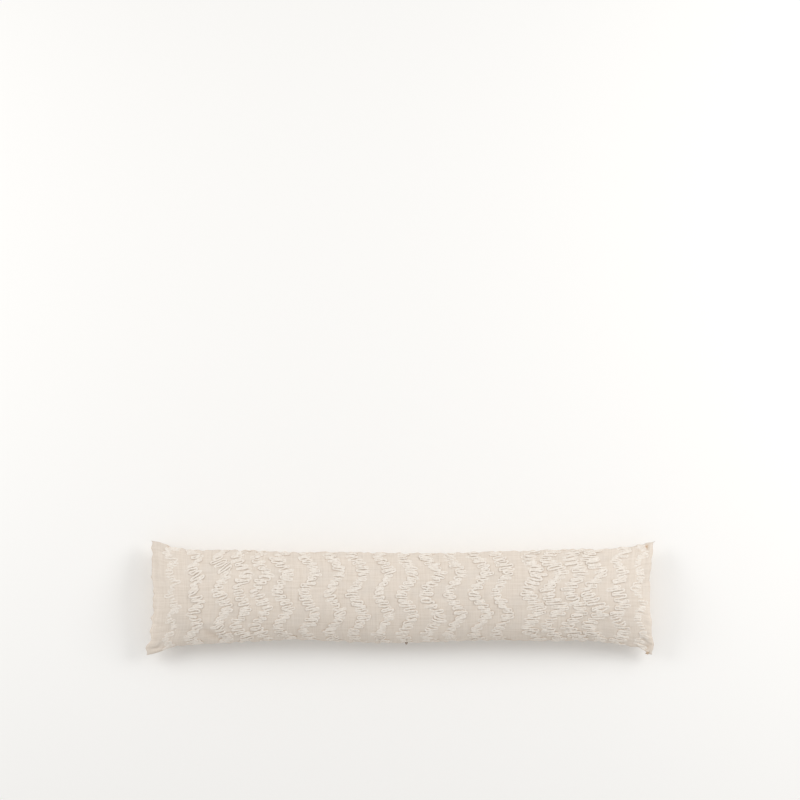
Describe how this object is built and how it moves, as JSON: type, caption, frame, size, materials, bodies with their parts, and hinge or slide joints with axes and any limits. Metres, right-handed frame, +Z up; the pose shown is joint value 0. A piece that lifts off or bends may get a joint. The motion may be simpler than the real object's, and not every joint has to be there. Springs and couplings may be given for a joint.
{
  "type": "draught excluder",
  "caption": "Long narrow filled cushion that lies along the foot of a door, of coarse woven cloth with upright zigzag bands of yarn loops on its face.",
  "frame": {"origin": "middle of the flat foot that the cushion rests on, under the middle of its length and width", "axes": "+X along the length, +Y towards the face's top edge, +Z up, out of the face"},
  "size_m": [0.8999, 0.201, 0.093],
  "materials": {
    "woven_cotton": "coarse plain-weave ecru cotton with raised loops of cream yarn, matt"
  },
  "bodies": {
    "root": {"filled_cushion": "woven_cotton"}
  },
  "joints": []
}
